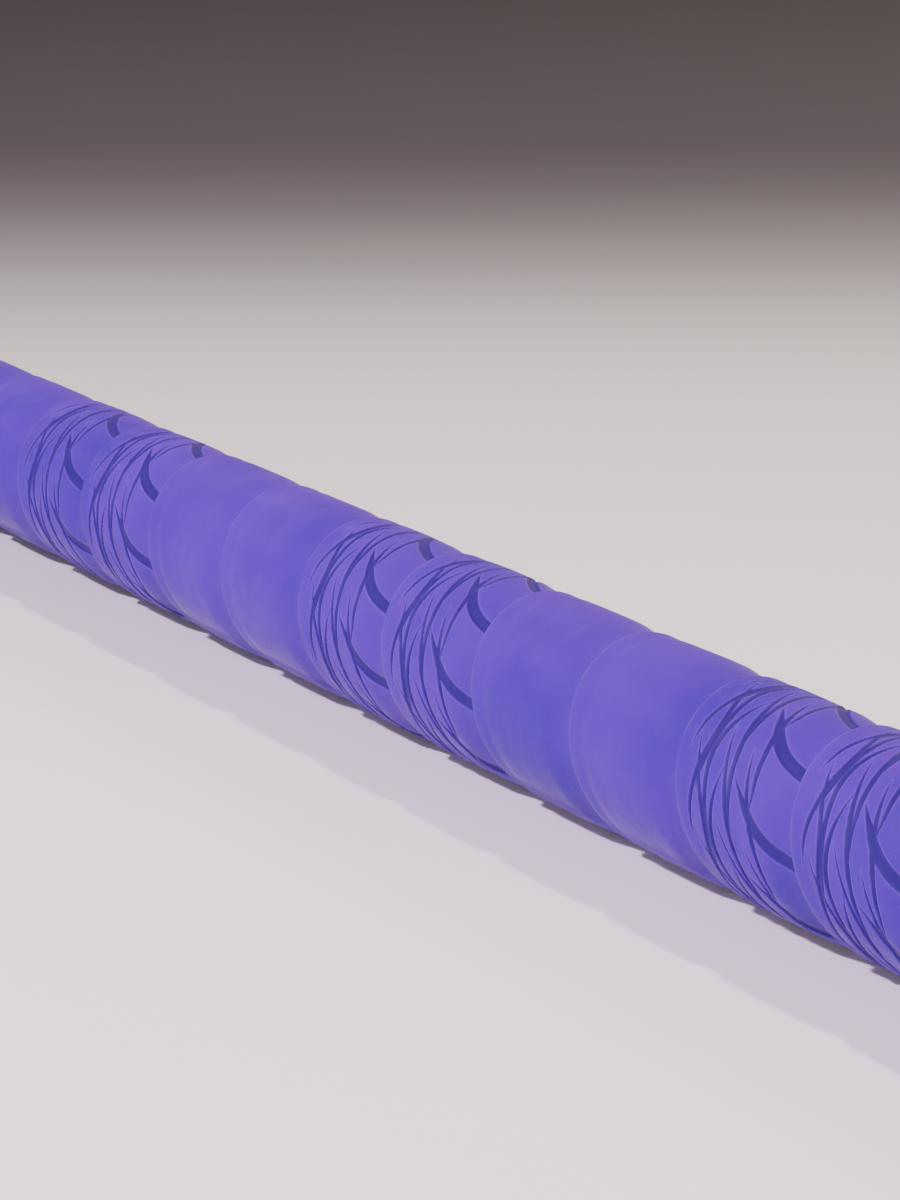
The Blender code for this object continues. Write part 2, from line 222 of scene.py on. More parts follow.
def mixed(tree, factor, one, other):
    """A mix of two colours, each a socket or a plain colour, by a factor that is a socket."""
    made = tree.nodes.new("ShaderNodeMix")
    made.data_type = "RGBA"
    factor_input, one_input, other_input = made.inputs[0], made.inputs[6], made.inputs[7]
    tree.links.new(factor, factor_input)
    for value, socket in ((one, one_input), (other, other_input)):
        if isinstance(value, bpy.types.NodeSocket):
            tree.links.new(value, socket)
        else:
            socket.default_value = (*value, 1.0)
    return made.outputs[2]


def ramp(tree, value, low, high, to_low=0.0, to_high=1.0):
    """Smooth change from to_low to to_high as value goes from low to high."""
    made = add(
        tree,
        "MapRange",
        {"interpolation_type": "SMOOTHSTEP"},
        Value=value,
        From_Min=low,
        From_Max=high,
        To_Min=to_low,
        To_Max=to_high,
    )
    return made.outputs[0]


def noise(tree, size, detail, stretch=(1.0, 1.0, 1.0)):
    """Noise whose blobs are about size mm across, longer along an axis where stretch is below 1."""
    place = add(tree, "TexCoord").outputs["Object"]
    scaled = add(tree, "Mapping", Vector=place)
    scaled.inputs["Scale"].default_value = stretch
    made = add(
        tree,
        "TexNoise",
        Vector=scaled.outputs[0],
        Scale=1.0 / (size * MM),
        Detail=detail,
        Roughness=0.5,
    )
    return made.outputs[0]


def new_material(name, **plain):
    """A material, its node tree and its shader, with plain values on the shader's sockets."""
    made = bpy.data.materials.new(name)
    made.use_nodes = True
    shader = made.node_tree.nodes["Principled BSDF"]
    for key, value in plain.items():
        shader.inputs[key.replace("_", " ")].default_value = value
    return made, made.node_tree, shader


def overgrip_material():
    """Tacky polyurethane tape: cloudy violet, with darker pressed grooves (their own tone plus
    painted shade), a painted highlight along their edges and painted shade in each turn's valley.
    """
    made, tree, shader = new_material(
        "overgrip_tape",
        IOR=1.45,
        Specular_IOR_Level=0.17,
        Sheen_Weight=0.1,
        Sheen_Roughness=0.35,
        Sheen_Tint=OVERGRIP_BLOOM,
    )
    cloud = noise(tree, 14.0, 3.0)
    mottle = noise(tree, 1.6, 4.0)
    grain = noise(tree, 0.12, 2.0)
    body = mixed(tree, ramp(tree, cloud, 0.34, 0.66), OVERGRIP_DEEP, OVERGRIP_PALE)
    body = mixed(tree, ramp(tree, mottle, 0.35, 0.75, 0.0, 0.25), body, OVERGRIP_PALE)
    body = mixed(tree, ramp(tree, grain, 0.35, 0.75, 0.0, 0.5), body, OVERGRIP_PALE)
    groove = add(tree, "Attribute", {"attribute_name": "groove"}).outputs["Fac"]
    inside = ramp(tree, groove, -0.05, 0.04, 1.0, 0.0)
    # painted highlight: a thin lighter band just outside each groove's edge, where its rim would
    # catch the light
    painted_highlight = add(tree, "Math", {"operation": "MULTIPLY"})
    tree.links.new(ramp(tree, groove, 0.0, 0.08), painted_highlight.inputs[0])
    tree.links.new(ramp(tree, groove, 0.08, 0.2, 0.4, 0.0), painted_highlight.inputs[1])
    body = mixed(tree, painted_highlight.outputs[0], body, OVERGRIP_PAINTED_HIGHLIGHT)
    across = add(tree, "Attribute", {"attribute_name": "across"}).outputs["Fac"]
    # painted shade: darker towards the next turn's edge, in the valley where the tape dips under it
    body = mixed(tree, ramp(tree, across, 10.8, 14.0, 0.0, 0.2), body, OVERGRIP_PAINTED_VALLEY_SHADE)
    # the pressed grooves are darker: partly the pressed tape's own tone, partly painted shade in the
    # recess
    colour = mixed(tree, inside, body, OVERGRIP_GROOVE_TONE_AND_SHADE)
    tree.links.new(colour, shader.inputs["Base Color"])
    tree.links.new(ramp(tree, mottle, 0.3, 0.7, 0.6, 0.7), shader.inputs["Roughness"])
    fine = add(tree, "Bump", Strength=0.45, Distance=0.025 * MM, Height=grain)
    soft = add(
        tree, "Bump", Strength=0.5, Distance=0.12 * MM, Height=mottle, Normal=fine.outputs[0]
    )
    tree.links.new(soft.outputs[0], shader.inputs["Normal"])
    return made


def speckled_material(name, one, other, size, roughness, stretch=(1.0, 1.0, 1.0), bump=0.02, **plain):
    """A material whose colour, roughness and surface vary with noise of one size."""
    made, tree, shader = new_material(name, **plain)
    patches = noise(tree, size, 4.0, stretch)
    fine = noise(tree, size / 5, 3.0, stretch)
    colour = mixed(tree, ramp(tree, patches, 0.3, 0.7), one, other)
    tree.links.new(colour, shader.inputs["Base Color"])
    spread = ramp(tree, fine, 0.3, 0.7, roughness[0], roughness[1])
    tree.links.new(spread, shader.inputs["Roughness"])
    relief = add(tree, "Bump", Strength=0.4, Distance=bump * MM, Height=fine)
    tree.links.new(relief.outputs[0], shader.inputs["Normal"])
    return made


# ---------------------------------------------------------------- the overgrip tape


# Strokes of the pressed pattern as (a, c, half width): a runs across the tape from its visible
# edge, along the wand, and c runs round the wand.
STROKES = [
    [
        (8.0, 0.0, 0.02),
        (9.0, 0.9, 0.22),
        (10.1, 1.9, 0.44),
        (11.7, 2.9, 0.44),
        (13.3, 3.4, 0.42),
        (15.6, 3.7, 0.42),
    ],
    [
        (2.6, -1.6, 0.02),
        (3.9, 1.4, 0.22),
        (4.1, 3.6, 0.26),
        (3.3, 5.9, 0.25),
        (2.4, 8.0, 0.17),
        (2.0, 9.8, 0.02),
    ],
    [
        (6.6, -0.4, 0.02),
        (5.4, 2.3, 0.19),
        (4.7, 4.8, 0.25),
        (4.6, 7.4, 0.26),
        (4.2, 9.8, 0.18),
        (3.4, 12.0, 0.02),
    ],
    [(5.9, -2.6, 0.02), (6.9, 0.4, 0.21), (7.4, 3.4, 0.27), (7.6, 6.4, 0.21), (7.6, 8.8, 0.02)],
    [(9.0, -1.8, 0.02), (9.7, 0.8, 0.22), (10.2, 3.2, 0.27), (10.3, 5.4, 0.19), (10.1, 6.8, 0.02)],
]
# The grid on which the distance to the strokes is kept, and how far over the tape it reaches.
FIELD_STEP = 0.025
FIELD_WIDTH = TAPE_PITCH + 0.8
# The grooves fade in and out over this share of a turn at the ends of a patch.
PATCH_FADE = 0.04
# The tape's profile: the edge's bevel, the furrow behind it, and the slope onto the turn below.
EDGE_BEVEL = 1.1
EDGE_HEIGHT = TAPE_THICKNESS - 0.14
EDGE_POWER = 1.7
FURROW_DEPTH = 0.06
FURROW_PLACE = 2.5
FURROW_WIDTH = 0.75
SLOPE_START = -1.2
SLOPE_WIDTH = 3.6
CROWN = 0.05
FACE_SINK = 0.01
VALLEY_LIFT = 0.1
GROOVE_LIP, GROOVE_WALL = 0.03, 0.13
# Behind the tape: its gap to the turn below and to the tube, and how thin it gets.
LAYER_GAP = 0.03
TUBE_GAP = 0.02
THINNEST = 0.1
# Uneven winding, how the tape's two ends sink, and how narrow they are.
RIPPLE_DEPTH = 0.035
RIPPLE_TOP = 0.01
RIPPLES_PER_TURN = 1.37
RIPPLE_LENGTH = 2.6
END_WIDTH = 0.6
END_SINK, END_LENGTH = 0.18, 0.6
BAND_SINK, BAND_LENGTH = 0.28, 3.0


def curve_through(points, steps=7):
    """A smooth curve through the points, with steps pieces between each two."""
    points = np.array(points, float)
    padded = np.vstack([2 * points[0] - points[1], points, 2 * points[-1] - points[-2]])
    made = []
    for i in range(len(points) - 1):
        p0, p1, p2, p3 = padded[i : i + 4]
        for t in np.arange(steps) / steps:
            made.append(
                p1
                + 0.5 * t * (p2 - p0)
                + t**2 * (p0 - 2.5 * p1 + 2 * p2 - 0.5 * p3)
                + t**3 * (1.5 * (p1 - p2) + 0.5 * (p3 - p0))
            )
    return np.array([*made, points[-1]])


def groove_field():
    """Distance in mm to the nearest stroke's edge, below 0 inside it, over one motif."""
    a = np.arange(0.0, FIELD_WIDTH, FIELD_STEP)[:, None]
    c = np.arange(0.0, MOTIF_PERIOD, FIELD_STEP)[None, :]
    nearest = np.full((a.shape[0], c.shape[1]), 1.0)
    for stroke in STROKES:
        line = curve_through(stroke)
        first = math.floor(line[:, 1].min() / MOTIF_PERIOD) - 1
        last = math.ceil(line[:, 1].max() / MOTIF_PERIOD) + 1
        for copy in range(first, last + 1):
            here = c + copy * MOTIF_PERIOD
            for (a0, c0, w0), (a1, c1, w1) in zip(line[:-1], line[1:]):
                da, dc = a1 - a0, c1 - c0
                t = ((a - a0) * da + (here - c0) * dc) / (da * da + dc * dc)
                t = np.clip(t, 0.0, 1.0)
                reach = np.hypot(a - a0 - t * da, here - c0 - t * dc) - (w0 + (w1 - w0) * t)
                np.minimum(nearest, reach, out=nearest)
    return nearest


def sampled(field, a, c):
    """The field's value at places across and along the tape, repeated along it."""
    u = np.clip(a / FIELD_STEP, 0, field.shape[0] - 1.001)
    v = np.mod(c / FIELD_STEP, field.shape[1])
    i, j = u.astype(int), v.astype(int) % field.shape[1]
    fu, fv = u - i, v - np.floor(v)
    k = (j + 1) % field.shape[1]
    near = field[i, j] * (1 - fv) + field[i, k] * fv
    far = field[i + 1, j] * (1 - fv) + field[i + 1, k] * fv
    return near * (1 - fu) + far * fu


def patterned(turn):
    """How far a place on the tape, counted in turns, lies inside a patch of grooves, in turns."""
    here = np.mod(turn - PATCH_PHASE, PATCH_REPEAT)
    return np.minimum(here, PATCH_TURNS - here)


def tape_rows():
    """Turn numbers of the tape's cross-sections, closer together where it is grooved."""
    fine, coarse = ((270, 72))
    first = (WRAP_START - TAPE_AXIAL_WIDTH + END_WIDTH - TAPE_FIRST_EDGE) / TAPE_PITCH
    last = (WRAP_END - END_WIDTH - TAPE_FIRST_EDGE) / TAPE_PITCH
    rows = [first]
    while rows[-1] < last:
        steps = fine if patterned(rows[-1]) > 0 else coarse
        rows.append(rows[-1] + 1 / steps)
    rows[-1] = last
    return np.array(rows)


def tape_columns():
    """Places across the tape's outer face, from its visible edge to its hidden one."""
    step = 0.125
    edge = np.array([0.0, 0.03, 0.09, 0.18, 0.3, 0.45, 0.62, 0.8])
    face = np.arange(0.8 + step, TAPE_PITCH + 0.5, step)
    hidden = np.linspace(TAPE_PITCH + 1.4, TAPE_AXIAL_WIDTH, 6)
    return np.concatenate([edge, face, hidden])


def outer_radius(a):
    """The tape's outer face: over the last turn, then down into the valley, then hidden."""
    overlap = TAPE_AXIAL_WIDTH - TAPE_PITCH
    crown = CROWN * ((a - 0.5 * overlap) / (0.5 * overlap)) ** 2
    face = WRAP_R - FACE_SINK - np.minimum(crown, CROWN)
    valley = WRAP_R - TAPE_THICKNESS + VALLEY_LIFT
    radius = face + (valley - face) * smoothstep((a - overlap - SLOPE_START) / SLOPE_WIDTH)
    furrow = FURROW_DEPTH * np.exp(-(((a - FURROW_PLACE) / FURROW_WIDTH) ** 2))
    bevel = EDGE_HEIGHT * np.clip(1 - a / EDGE_BEVEL, 0.0, 1.0) ** EDGE_POWER
    return radius - furrow - bevel


def tape_grooves(rows, a):
    """Distance in mm to the nearest stroke's edge all over the tape, and 1 where it is plain."""
    around = 2 * math.pi * WRAP_R * rows[:, None]
    groove = sampled(groove_field(), a, np.broadcast_to(around - MOTIF_PHASE, a.shape))
    groove[a > FIELD_WIDTH - 0.3] = 1.0
    fade = smoothstep(patterned(rows) / PATCH_FADE)[:, None]
    return 1.0 - (1.0 - groove) * fade


def tape_outside(rows, a, x, groove):
    """Radius of the tape's outer face, with its ripples, its grooves and its sunk ends."""
    swing = np.sin(2 * math.pi * rows * RIPPLES_PER_TURN)[:, None]
    ripple = RIPPLE_DEPTH * swing * np.sin(a / RIPPLE_LENGTH + rows[:, None])
    radius = outer_radius(a) + np.minimum(ripple, RIPPLE_TOP)
    radius -= GROOVE_DEPTH * smoothstep((GROOVE_LIP - groove) / GROOVE_WALL)
    to_end = np.minimum(x - WRAP_START, WRAP_END - x)
    radius -= END_SINK * (1 - smoothstep(to_end / END_LENGTH))
    radius -= BAND_SINK * smoothstep((x - WRAP_END + BAND_LENGTH) / BAND_LENGTH)
    return radius


def tape_inside(a, outside):
    """Radius of the tape's inner face, which lies on the turn below or on the tube."""
    inside = outer_radius(a) - TAPE_THICKNESS + LAYER_GAP
    return np.maximum(np.minimum(inside, outside - THINNEST), TUBE_R + TUBE_GAP)


def make_tape():
    """The overgrip: one strip, wound as a spiral, each turn lying on the one before it."""
    rows = tape_rows()
    columns = tape_columns()
    left = TAPE_FIRST_EDGE + TAPE_PITCH * rows
    start = np.maximum(0.0, WRAP_START - left)
    end = np.minimum(TAPE_AXIAL_WIDTH, WRAP_END - left)
    share = columns / TAPE_AXIAL_WIDTH
    a = start[:, None] + (end - start)[:, None] * share[None, :]
    x = left[:, None] + a
    groove = tape_grooves(rows, a)
    radius = tape_outside(rows, a, x, groove)
    inner_picks = np.linspace(len(columns) - 1, 0, 24).round().astype(int)
    inner_a = a[:, inner_picks]
    inner_r = tape_inside(inner_a, radius[:, inner_picks])
    x = np.concatenate([x, left[:, None] + inner_a], axis=1)
    radius = np.concatenate([radius, inner_r], axis=1)
    groove = np.concatenate([groove, np.ones_like(inner_r)], axis=1)
    angle = 2 * math.pi * rows[:, None]
    rings = np.stack([x, radius * np.cos(angle), radius * np.sin(angle)], axis=-1)
    tape = ring_mesh("overgrip_tape", in_world(rings))
    across = np.concatenate([a, np.full_like(inner_r, 6.0)], axis=1)
    for name, values in (("groove", groove), ("across", across)):
        stored = tape.data.attributes.new(name, "FLOAT", "POINT")
        stored.data.foreach_set("value", values.astype(np.float32).ravel())
    tape.data.flip_normals()
    tape.data.shade_smooth()
    tape.data.materials.append(overgrip_material())
    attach(tape, "stick")
    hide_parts("grip_wrap")


# ---------------------------------------------------------------- the other pieces

BAND_START, BAND_END = span("finishing_tape")
CAP_START, SPIGOT_END = span("butt_cap")
CAP_R = half_width("butt_cap")
FERRULE_START, FERRULE_END = span("tip_ferrule")
FERRULE_R = half_width("tip_ferrule")
FERRULE_BORE_R = 4.3
TUBE_START, TUBE_END = span("stick_tube")
PIN_X = 517.0
PIN_HOLE_R = 1.05
HEAD_START = span("spindle")[0]
EYE_X = FERRULE_END + 5.2
RING_X = EYE_X + 4.2
HOOK_X = EYE_X + 8.4
# The hook's loop, with places along it from the middle of its eye.
HOOK_HALF_WIDTH = 4.4
LOOP_START, LOOP_END = 9.0, 22.0
GATE_HINGE, GATE_END = 10.2, 19.2


def rounded(outline, closed=True, steps=4):
    """The outline's (length, radius, rounding) corners as points, each corner rounded off."""
    made = []
    last = len(outline) - 1
    for i, (x, r, size) in enumerate(outline):
        here = np.array([x, r], float)
        if size <= 0 or (not closed and i in (0, last)):
            made.append(here)
            continue
        before = np.array(outline[i - 1][:2]) - here
        after = np.array(outline[(i + 1) % len(outline)][:2]) - here
        reach = min(size, 0.45 * np.hypot(*before), 0.45 * np.hypot(*after))
        start = here + before * reach / np.hypot(*before)
        end = here + after * reach / np.hypot(*after)
        for t in np.linspace(0.0, 1.0, steps + 1):
            made.append((1 - t) ** 2 * start + 2 * t * (1 - t) * here + t * t * end)
    return np.array(made)


def outward(obj):
    """Turns every face outwards and rounds the shading."""
    shape = bmesh.new()
    shape.from_mesh(obj.data)
    bmesh.ops.recalc_face_normals(shape, faces=shape.faces)
    shape.to_mesh(obj.data)
    shape.free()
    return smooth(obj)


def lathe(name, outline, closed=True, steps=96, centre=(0.0, 0.0, 0.0), axis="X"):
    """A turned piece from its outline in mm. A closed outline makes a piece with a hole through."""
    profile = rounded(outline, closed)
    turn = 2 * math.pi * np.arange(steps) / steps
    length = np.repeat(profile[:, :1], steps, axis=1)
    across = profile[:, 1:] * np.cos(turn)
    upright = profile[:, 1:] * np.sin(turn)
    order = {"X": (length, across, upright), "Z": (across, upright, length)}[axis]
    rings = np.stack(order, axis=-1) + np.array(centre)
    return outward(ring_mesh(name, in_world(rings), closed_rows=closed))


def swept(name, path, radii, steps=32, closed=False):
    """A bar along a path of points in mm. Each point has its half thickness across and upright."""
    path = np.array(path, float)
    if closed:
        along = np.roll(path, -1, axis=0) - np.roll(path, 1, axis=0)
    else:
        along = np.gradient(path, axis=0)
    along /= np.linalg.norm(along, axis=1)[:, None]
    side = np.cross(along, (0.0, 0.0, 1.0))
    side /= np.linalg.norm(side, axis=1)[:, None]
    up = np.cross(side, along)
    turn = 2 * math.pi * np.arange(steps) / steps
    radii = np.array(radii, float)
    rings = (
        path[:, None, :]
        + side[:, None, :] * radii[:, 0, None, None] * np.cos(turn)[None, :, None]
        + up[:, None, :] * radii[:, 1, None, None] * np.sin(turn)[None, :, None]
    )
    return outward(ring_mesh(name, in_world(rings), closed_rows=closed))


def bar(name, start, end, y, half_y, half_z):
    """A square bar along the wand, from start to end."""
    corners = [(-half_y, -half_z), (half_y, -half_z), (half_y, half_z), (-half_y, half_z)]
    rings = np.array([[(x, y + across, up) for across, up in corners] for x in (start, end)])
    return outward(ring_mesh(name, in_world(rings)))


def evaluated(obj):
    """Keeps the shape that an object's modifiers give it."""
    bpy.context.view_layer.update()
    graph = bpy.context.evaluated_depsgraph_get()
    mesh = bpy.data.meshes.new_from_object(obj.evaluated_get(graph), depsgraph=graph)
    obj.modifiers.clear()
    obj.data = mesh
    return obj


def fused(name, parts, voxel, passes):
    """One solid from several that cross, with soft fillets where they meet."""
    shape = bmesh.new()
    for part in parts:
        shape.from_mesh(part.data)
        bpy.data.objects.remove(part)
    mesh = bpy.data.meshes.new(name)
    shape.to_mesh(mesh)
    shape.free()
    obj = link(bpy.data.objects.new(name, mesh))
    remesh = obj.modifiers.new("fuse", "REMESH")
    remesh.mode = "VOXEL"
    remesh.voxel_size = voxel * MM
    soften = obj.modifiers.new("soften", "SMOOTH")
    soften.iterations = passes
    evaluated(obj)
    obj.data.shade_smooth()
    return obj


def placed(obj, made, body, node):
    """Gives a piece its material, its body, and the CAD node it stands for."""
    obj.data.materials.clear()
    obj.data.materials.append(made)
    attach(obj, body)
    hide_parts(node)


def tipped(obj, x):
    """Gives a piece made at the butt a quarter turn about the wand's axis, and moves it to x."""
    obj.data.transform(Matrix.Translation((-BUTT_X, 0.0, -AXIS_Z)))
    obj.data.transform(Matrix.Rotation(math.pi / 2, 4, "X"))
    obj.data.transform(Matrix.Translation(on_wand(x)))
    return obj


def cut_out(obj, cutters):
    """Cuts other shapes out of a piece, and removes them."""
    for cutter in cutters:
        cut = obj.modifiers.new(cutter.name, "BOOLEAN")
        cut.object = cutter
    evaluated(obj)
    for cutter in cutters:
        bpy.data.objects.remove(cutter)
    return smooth(obj)


def drilled(obj):
    """Bores the cross pin's hole through a piece, from side to side."""
    drill = [(-8.0, PIN_HOLE_R, 0.0), (8.0, PIN_HOLE_R, 0.0)]
    return cut_out(obj, [tipped(lathe("drill", drill, closed=False, steps=48, axis="Z"), PIN_X)])


def eye_outline(hole_r, eye_r, half):
    """A flat eye's outline, for a lathe round an upright axis."""
    return [(-half, hole_r, 0.45), (-half, eye_r, 0.6), (half, eye_r, 0.6), (half, hole_r, 0.45)]


def make_tube(made):
    """Fibreglass tube, as two lengths that meet under the finishing band."""
    bore_r, tip_r = 2.8, 4.0
    meeting = (BAND_START + BAND_END) / 2
    rear = [
        (TUBE_START, bore_r, 0.15),
        (TUBE_START, TUBE_R, 0.15),
        (meeting, TUBE_R, 0.0),
        (meeting, bore_r, 0.0),
    ]
    front = [
        (meeting, bore_r, 0.0),
        (meeting, TUBE_R, 0.0),
        (BAND_END + 8.0, TUBE_R, 8.0),
        (505.0, tip_r, 8.0),
        (TUBE_END, tip_r, 0.15),
        (TUBE_END, bore_r, 0.15),
    ]
    placed(lathe("tube_in_grip", rear), made, "stick", "stick_tube")
    placed(drilled(lathe("tapered_tube", front)), made, "stick", "stick_tube")


def make_finishing_band(made):
    """Vinyl tape wound two and a half times round the end of the overgrip."""
    turns, steps = 2.5, 96
    thickness, lift = 0.2, 0.21
    turn = np.linspace(0.0, turns, int(turns * steps) + 1)
    low = TUBE_R + 0.05 + lift * turn
    corners = [(0.0, 0.0, 0.05), (1.0, 0.0, 0.05), (1.0, thickness, 0.08), (0.0, thickness, 0.08)]
    width = BAND_END - BAND_START - 0.3
    section = rounded([(x * width, r, size) for x, r, size in corners])
    drift = 0.15 * np.sin(2.1 * turn + 1.0)
    x = BAND_START + 0.15 + section[None, :, 0] + drift[:, None]
    radius = low[:, None] + section[None, :, 1]
    angle = 2 * math.pi * turn[:, None] - 1.0
    rings = np.stack([x, radius * np.cos(angle), radius * np.sin(angle)], axis=-1)
    band = outward(ring_mesh("finishing_band", in_world(rings)))
    placed(band, made, "stick", "finishing_tape")


def make_butt_cap(made):
    """Rubber cap with a domed edge, a moulded ring on its end, and a barbed spigot."""
    neck = 2.1
    outline = [(SPIGOT_END, 0.2, 0.0), (SPIGOT_END, 2.0, 0.2)]
    for top in (SPIGOT_END - 1.0, SPIGOT_END - 5.0):
        outline += [(top, 2.5, 0.1), (top - 2.0, 2.25, 0.1), (top - 2.2, neck, 0.1)]
    head = WRAP_START - 0.3
    outline += [
        (head, neck, 0.3),
        (head, CAP_R - 0.05, 0.35),
        (CAP_START + 1.9, CAP_R, 0.3),
        (CAP_START + 0.7, CAP_R - 0.45, 0.6),
        (CAP_START, CAP_R - 1.9, 0.7),
        (CAP_START, 3.2, 0.12),
        (CAP_START + 0.3, 3.0, 0.12),
        (CAP_START + 0.3, 2.3, 0.12),
        (CAP_START + 0.05, 2.1, 0.12),
        (CAP_START + 0.05, 0.2, 0.0),
    ]
    cap = lathe("butt_cap_rubber", outline, closed=False)
    placed(cap, made, "stick", "butt_cap")


def make_ferrule(made):
    """Plated housing: rolled rear edge, two crimp grooves and a rounded front."""
    shaft_hole = 1.7
    outline = [
        (FERRULE_END, shaft_hole, 0.15),
        (FERRULE_END, FERRULE_R - 1.0, 0.5),
        (FERRULE_END - 1.0, FERRULE_R, 0.6),
        (FERRULE_START + 12.6, FERRULE_R, 0.1),
        (FERRULE_START + 12.5, FERRULE_R - 0.08, 0.05),
        (FERRULE_START + 12.3, FERRULE_R - 0.08, 0.05),
        (FERRULE_START + 12.2, FERRULE_R, 0.1),
    ]
    for start in (FERRULE_START + 5.4, FERRULE_START + 3.4):
        outline += [
            (start, FERRULE_R, 0.12),
            (start - 0.35, FERRULE_R - 0.25, 0.15),
            (start - 0.85, FERRULE_R - 0.25, 0.15),
            (start - 1.2, FERRULE_R, 0.12),
        ]
    outline += [
        (FERRULE_START, FERRULE_R, 0.35),
        (FERRULE_START, FERRULE_BORE_R, 0.1),
        (FERRULE_END - 2.2, FERRULE_BORE_R, 0.1),
        (FERRULE_END - 2.2, shaft_hole, 0.1),
    ]
    ferrule = lathe("swivel_housing", outline)
    placed(drilled(ferrule), made, "stick", "tip_ferrule")


def make_spindle(made):
    """Swivel spindle: a head inside the housing, a shaft, and a rounded eye."""
    head_r, head, shaft_r = 3.2, 2.4, 1.4
    shaft = [
        (HEAD_START, 0.2, 0.0),
        (HEAD_START, head_r, 0.5),
        (HEAD_START + head, head_r, 0.1),
        (HEAD_START + head, shaft_r, 0.1),
        (EYE_X - 2.4, shaft_r, 0.1),
        (EYE_X - 2.4, 0.2, 0.0),
    ]
    parts = [
        lathe("shaft", shaft, closed=False, steps=64),
        lathe("eye", eye_outline(1.7, 3.2, 1.3), steps=64, centre=(EYE_X, 0.0, 0.0), axis="Z"),
    ]
    spindle = fused("swivel_spindle", parts, 0.1, 3)
    placed(spindle, made, "swivel", "spindle")


def make_ring(made):
    """Round wire ring with its weld at the top, where neither eye reaches."""
    ring_r, wire_r, steps = 4.2, 0.6, 144
    turn = 2 * math.pi * np.arange(steps) / steps
    path = np.stack([ring_r * np.cos(turn), ring_r * np.sin(turn), 0 * turn], axis=-1)
    weld = np.exp(-(((turn - math.pi / 2) / 0.07) ** 2))
    radii = np.repeat((wire_r + 0.07 * weld)[:, None], 2, axis=1)
    ring = swept("connector_ring_wire", path, radii, 24, closed=True)
    placed(tipped(ring, RING_X), made, "ring", "connector_ring")


def make_hook(made):
    """Cast snap hook: a bent bar that thins to the gate's tongue, a neck and an eye."""
    bar_r, tongue, steps = 1.2, 0.6, 40
    reach = HOOK_HALF_WIDTH
    path = [(GATE_HINGE + tongue, -reach), (LOOP_START + 0.6, -reach)]
    for centre, start, end in ((LOOP_START, -90, -270), (LOOP_END, 90, -90)):
        for angle in np.radians(np.linspace(start, end, steps + 1)):
            path.append((centre + reach * math.cos(angle), reach * math.sin(angle)))
    path += [(LOOP_END - 1.2, -reach), (GATE_END + 0.4, -reach)]
    points = [(HOOK_X + x, y, 0.0) for x, y in path]
    radii = [(bar_r, bar_r)] * len(points)
    radii[:2] = [(bar_r, tongue)] * 2
    thinned = 6
    for i in range(thinned):
        share = smoothstep(i / thinned)
        radii[2 + i] = (bar_r, tongue + (bar_r - tongue) * share)
    neck = [(2.1, 0.2, 0.0), (2.1, 1.05, 0.0), (4.9, 1.05, 0.0), (4.9, 0.2, 0.0)]
    end = [(-tongue, 0.2, 0.0), (-tongue, bar_r, 0.2), (tongue, bar_r, 0.2), (tongue, 0.2, 0.0)]
    parts = [
        swept("bar", points, radii),
        lathe("eye", eye_outline(1.6, 3.0, 1.2), steps=64, centre=(HOOK_X, 0.0, 0.0), axis="Z"),
        lathe("neck", neck, closed=False, steps=48, centre=(HOOK_X, 0.0, 0.0)),
        lathe("end", end, False, 48, centre=(HOOK_X + GATE_HINGE, -reach, 0.0), axis="Z"),
    ]
    hook = fused("snap_hook", parts, 0.1, 4)
    placed(hook, made, "hook", "hook_body")


def make_gate(made):
    """Snap hook's gate: a rounded bar, forked and pinned at one end, bored for its spring."""
    half_y, half_z, nose_r, steps, squareness = 1.3, 1.5, 0.35, 48, 0.55
    x = np.concatenate(
        [
            GATE_HINGE - half_y * np.cos(np.linspace(0.12, math.pi / 2, 12)),
            np.linspace(GATE_HINGE + 0.3, GATE_END - nose_r, 30),
            GATE_END - nose_r + nose_r * np.sin(np.linspace(0.3, math.pi / 2, 5)),
        ]
    )
    nose = np.clip((x - GATE_END + nose_r) / nose_r, 0.0, 1.0)
    inset = nose_r * (1 - np.sqrt(1 - nose**2))
    behind = np.minimum(x - GATE_HINGE, 0.0)
    across = np.sqrt(np.maximum(half_y**2 - behind**2, 0.0)) - inset
    upright = half_z - inset
    turn = 2 * math.pi * np.arange(steps) / steps
    round_y = np.sign(np.cos(turn)) * np.abs(np.cos(turn)) ** squareness
    round_z = np.sign(np.sin(turn)) * np.abs(np.sin(turn)) ** squareness
    rings = np.stack(
        [
            np.repeat((HOOK_X + x)[:, None], steps, axis=1),
            across[:, None] * round_y - HOOK_HALF_WIDTH,
            upright[:, None] * round_z,
        ],
        axis=-1,
    )
    gate = outward(ring_mesh("snap_gate", in_world(rings)))
    slot_end, slot_half, rivet_hole, bore_r, bore_end = 11.7, 0.9, 0.6, 0.75, 17.6
    pin = (HOOK_X + GATE_HINGE, -HOOK_HALF_WIDTH, 0.0)
    bore = [(slot_end - 0.5, bore_r, 0.0), (bore_end, bore_r, 0.0)]
    cutters = [
        bar("slot", HOOK_X + GATE_HINGE - 3.0, HOOK_X + slot_end, -HOOK_HALF_WIDTH, 3.0, slot_half),
        lathe("pin_hole", [(-3.0, rivet_hole, 0.0), (3.0, rivet_hole, 0.0)], False, 32, pin, "Z"),
        lathe("bore", bore, False, 32, (HOOK_X, -HOOK_HALF_WIDTH, 0.0)),
    ]
    placed(cut_out(gate, cutters), made, "gate", "hook_gate")


# How noise is scaled to look turned round the wand, or drawn along it.
AROUND_X = (1.0, 0.03, 0.03)
ALONG_X = (0.02, 1.0, 1.0)


